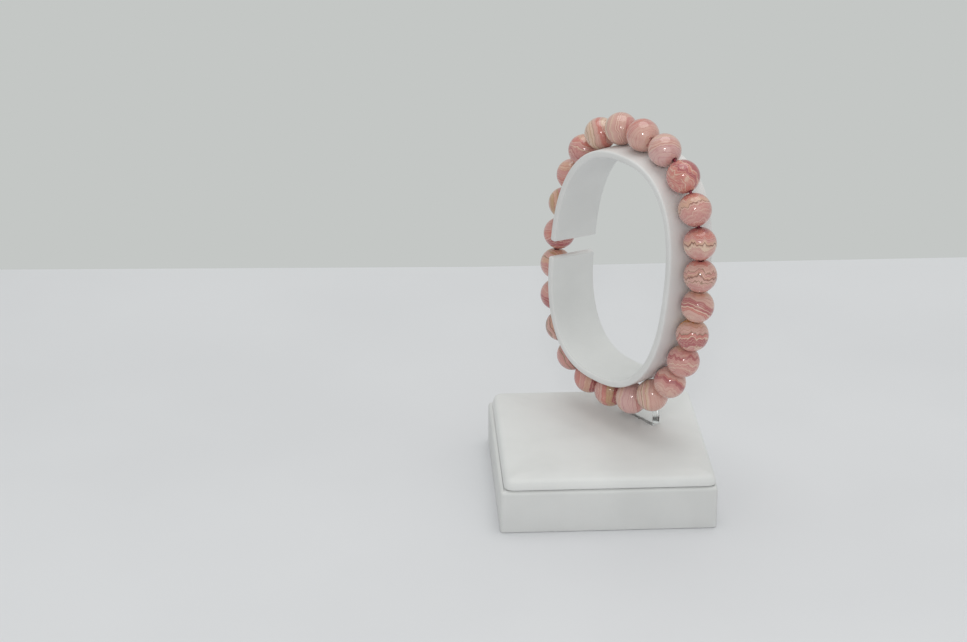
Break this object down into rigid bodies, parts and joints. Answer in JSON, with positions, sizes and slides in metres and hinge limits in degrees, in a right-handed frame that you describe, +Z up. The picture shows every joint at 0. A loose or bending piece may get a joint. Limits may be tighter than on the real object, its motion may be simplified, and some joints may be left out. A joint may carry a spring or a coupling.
{
  "type": "bead bracelet on display stand",
  "caption": "Stretch bracelet of round banded stone beads on an open oval ring, carried by a clear stem on a square padded base.",
  "frame": {"origin": "centre of the square base's underside", "axes": "+Z up, -Y towards the front of the base; the ring is turned 55 degrees clockwise seen from above, with its gap at the back left"},
  "size_m": [0.06, 0.0641, 0.1089],
  "materials": {
    "wrap": "fine-grained white leatherette",
    "clear": "clear polished acrylic",
    "bead": "polished rhodochrosite banded in pink and cream",
    "elastic": "crimson elastic cord"
  },
  "bodies": {
    "root": {"base": "wrap", "top_pad": "wrap", "stem": "clear", "ring_band": "wrap", "ring_lining": "wrap", "bead_01": "bead", "bead_02": "bead", "bead_03": "bead", "bead_04": "bead", "bead_05": "bead", "bead_06": "bead", "bead_07": "bead", "bead_08": "bead", "bead_09": "bead", "bead_10": "bead", "bead_11": "bead", "bead_12": "bead", "bead_13": "bead", "bead_14": "bead", "bead_15": "bead", "bead_16": "bead", "bead_17": "bead", "bead_18": "bead", "bead_19": "bead", "bead_20": "bead", "bead_21": "bead", "bead_22": "bead", "bead_23": "bead", "bead_24": "bead", "elastic_cord": "elastic"}
  },
  "joints": []
}
